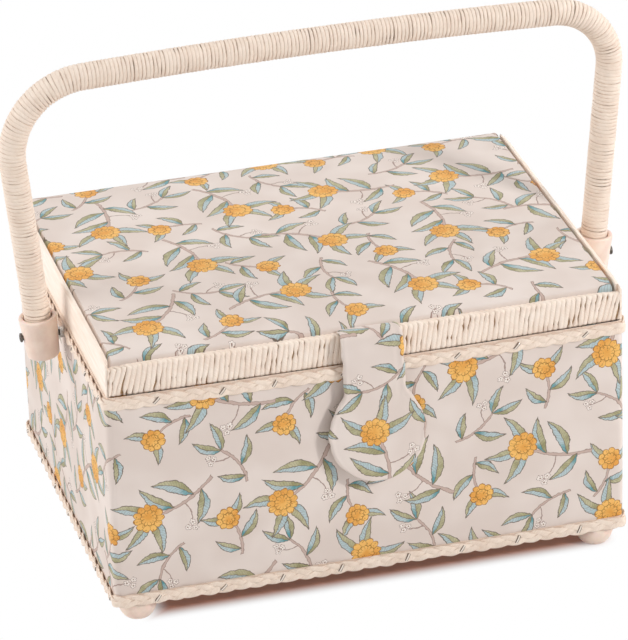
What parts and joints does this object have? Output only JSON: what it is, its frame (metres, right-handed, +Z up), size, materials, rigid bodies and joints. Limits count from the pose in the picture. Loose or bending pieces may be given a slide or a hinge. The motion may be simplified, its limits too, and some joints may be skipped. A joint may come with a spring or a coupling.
{
  "type": "sewing box",
  "caption": "Fabric-covered sewing box with a padded hinged lid edged in wound paper cord, a tongue-shaped closing tab and a cord-wound swing handle.",
  "frame": {"origin": "on the floor, under the middle of the whole object's bounding box", "axes": "+X to the object's right along its width and its handle bar, +Y from the tab at the front to the hinges at the back, +Z up"},
  "size_m": [0.3179, 0.2111, 0.2653],
  "materials": {
    "board": "matte",
    "printed_cotton": "matte",
    "plain_cotton": "matte",
    "foam": "matte",
    "paper_cord": "satin",
    "smooth_rail": "satin",
    "peach_plastic": "satin",
    "steel": "satin",
    "brass": "satin"
  },
  "bodies": {
    "body": {"base_board": "board", "front_board": "board", "back_board": "board", "left_board": "board", "right_board": "board", "body_cover": "printed_cotton", "rim_braid": "paper_cord", "base_braid": "paper_cord", "wall_lining": "plain_cotton", "floor_pad": "plain_cotton", "foot_front_left": "peach_plastic", "foot_back_left": "peach_plastic", "foot_front_right": "peach_plastic", "foot_back_right": "peach_plastic", "foot_screw_front_left": "steel", "foot_screw_back_left": "steel", "foot_screw_front_right": "steel", "foot_screw_back_right": "steel", "pivot_screw_left": "steel", "pivot_screw_right": "steel", "pivot_spacer_left": "steel", "pivot_spacer_right": "steel", "pivot_nut_left": "steel", "pivot_nut_right": "steel", "hinge_lower_leaf_left": "brass", "hinge_lower_leaf_right": "brass", "hinge_pin_left": "steel", "hinge_pin_right": "steel", "hinge_screw_lower_left_outer": "brass", "hinge_screw_lower_left_inner": "brass", "hinge_screw_lower_right_outer": "brass", "hinge_screw_lower_right_inner": "brass", "snap_stud": "steel"},
    "lid": {"lid_front_rail": "board", "lid_back_rail": "board", "lid_left_rail": "smooth_rail", "lid_right_rail": "smooth_rail", "lid_front_winding": "paper_cord", "lid_back_winding": "paper_cord", "lid_board": "board", "lid_lining": "plain_cotton", "lid_foam": "foam", "lid_top_fabric": "printed_cotton", "pincushion": "printed_cotton", "tab_anchor": "printed_cotton", "hinge_upper_leaf_left": "brass", "hinge_upper_leaf_right": "brass", "hinge_screw_upper_left_outer": "brass", "hinge_screw_upper_left_inner": "brass", "hinge_screw_upper_right_outer": "brass", "hinge_screw_upper_right_inner": "brass"},
    "tab": {"tab_face": "printed_cotton", "tab_lining": "plain_cotton", "snap_socket": "steel"},
    "handle": {"handle_core": "board", "handle_wrap": "paper_cord", "ferrule_left": "peach_plastic", "ferrule_right": "peach_plastic"}
  },
  "joints": [
    {"name": "lid_hinge", "type": "hinge", "parent": "body", "child": "lid", "pos_m": [0, 0.1036, 0.12515], "axis": [-1, 0, 0], "range_deg": [0, 100]},
    {"name": "handle_fold", "type": "hinge", "parent": "body", "child": "handle", "pos_m": [0, -0.0098, 0.1215], "axis": [1, 0, 0], "range_deg": [0, 130]},
    {"name": "tab_lift", "type": "hinge", "parent": "lid", "child": "tab", "pos_m": [0, -0.1008, 0.1422], "axis": [-1, 0, 0], "range_deg": [0, 85]}
  ],
  "couplings": [
    {"joint": "handle_fold", "follows": "lid_hinge", "ratio": 1.3}
  ]
}
